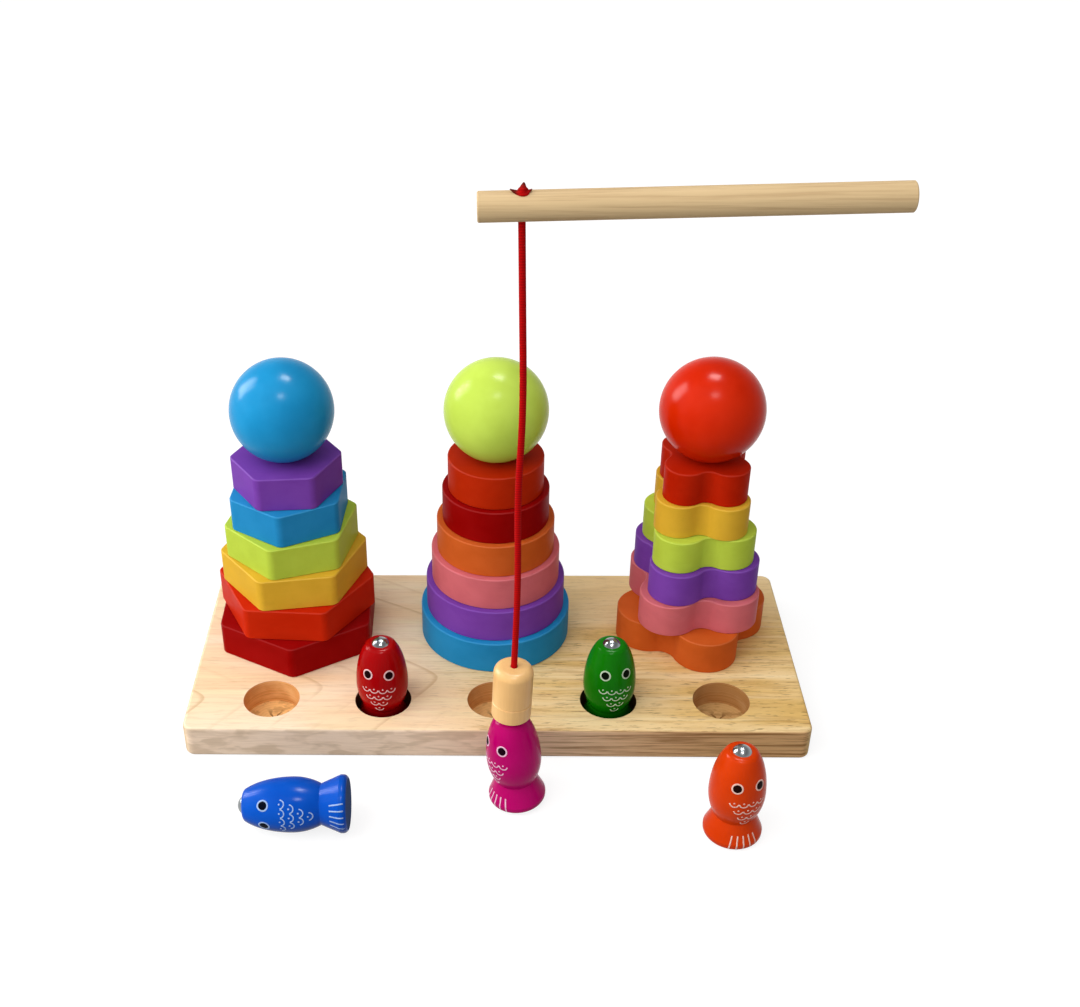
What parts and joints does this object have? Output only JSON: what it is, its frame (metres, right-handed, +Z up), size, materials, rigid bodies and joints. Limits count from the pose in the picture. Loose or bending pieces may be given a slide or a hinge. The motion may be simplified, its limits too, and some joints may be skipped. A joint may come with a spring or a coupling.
{
  "type": "wooden fishing and stacking game",
  "caption": "Board with towers of stacking rings topped by balls, a row of sockets for turned fish, and a rod whose cord ends in a magnet.",
  "frame": {"origin": "centre of the board's underside, which rests on the table", "axes": "+Z up, +X along the board to the right seen from the sockets' side, +Y from the sockets towards the towers"},
  "size_m": [0.3, 0.1888, 0.2954],
  "materials": {
    "board_wood": "pale sanded wood with fine grain, clear satin",
    "plain_wood": "plain sanded wood",
    "rod_wood": "plain sanded dowel",
    "cream_wood": "clear gloss lacquer",
    "screw_steel": "plated and polished",
    "magnet_metal": "plain nickel",
    "red_cord": "braided cord",
    "ring_blue": "satin paint",
    "ring_crimson": "satin paint",
    "ring_lime": "satin paint",
    "ring_orange": "satin paint",
    "ring_orange_red": "satin paint",
    "ring_pink": "satin paint",
    "ring_purple": "satin paint",
    "ring_red": "satin paint",
    "ring_vermilion": "satin paint",
    "ring_yellow": "satin paint",
    "ball_blue": "gloss paint",
    "ball_lime": "gloss paint",
    "ball_red": "gloss paint",
    "fish_blue": "gloss paint with white and black print",
    "fish_red": "gloss paint with white and black print",
    "fish_pink": "gloss paint with white and black print",
    "fish_green": "gloss paint with white and black print",
    "fish_orange": "gloss paint with white and black print"
  },
  "bodies": {
    "root": {"base_board": "board_wood", "peg_left": "plain_wood", "peg_middle": "plain_wood", "peg_right": "plain_wood", "hexagon_ring_crimson": "ring_crimson", "hexagon_ring_orange_red": "ring_orange_red", "hexagon_ring_yellow": "ring_yellow", "hexagon_ring_lime": "ring_lime", "hexagon_ring_blue": "ring_blue", "hexagon_ring_purple": "ring_purple", "round_ring_blue": "ring_blue", "round_ring_purple": "ring_purple", "round_ring_pink": "ring_pink", "round_ring_orange": "ring_orange", "round_ring_crimson": "ring_crimson", "round_ring_vermilion": "ring_vermilion", "flower_ring_orange": "ring_orange", "flower_ring_pink": "ring_pink", "flower_ring_purple": "ring_purple", "flower_ring_lime": "ring_lime", "flower_ring_yellow": "ring_yellow", "flower_ring_red": "ring_red", "ball_blue": "ball_blue", "ball_lime": "ball_lime", "ball_red": "ball_red", "fish_blue": "fish_blue", "fish_screw_blue": "screw_steel", "fish_red": "fish_red", "fish_screw_red": "screw_steel", "fish_pink": "fish_pink", "fish_screw_pink": "screw_steel", "fish_green": "fish_green", "fish_screw_green": "screw_steel", "fish_orange": "fish_orange", "fish_screw_orange": "screw_steel", "magnet_holder": "cream_wood", "magnet_collar": "cream_wood", "magnet": "magnet_metal", "fishing_rod": "rod_wood", "cord": "red_cord", "cord_rod_knot": "red_cord", "cord_end_knot": "red_cord"}
  },
  "joints": []
}
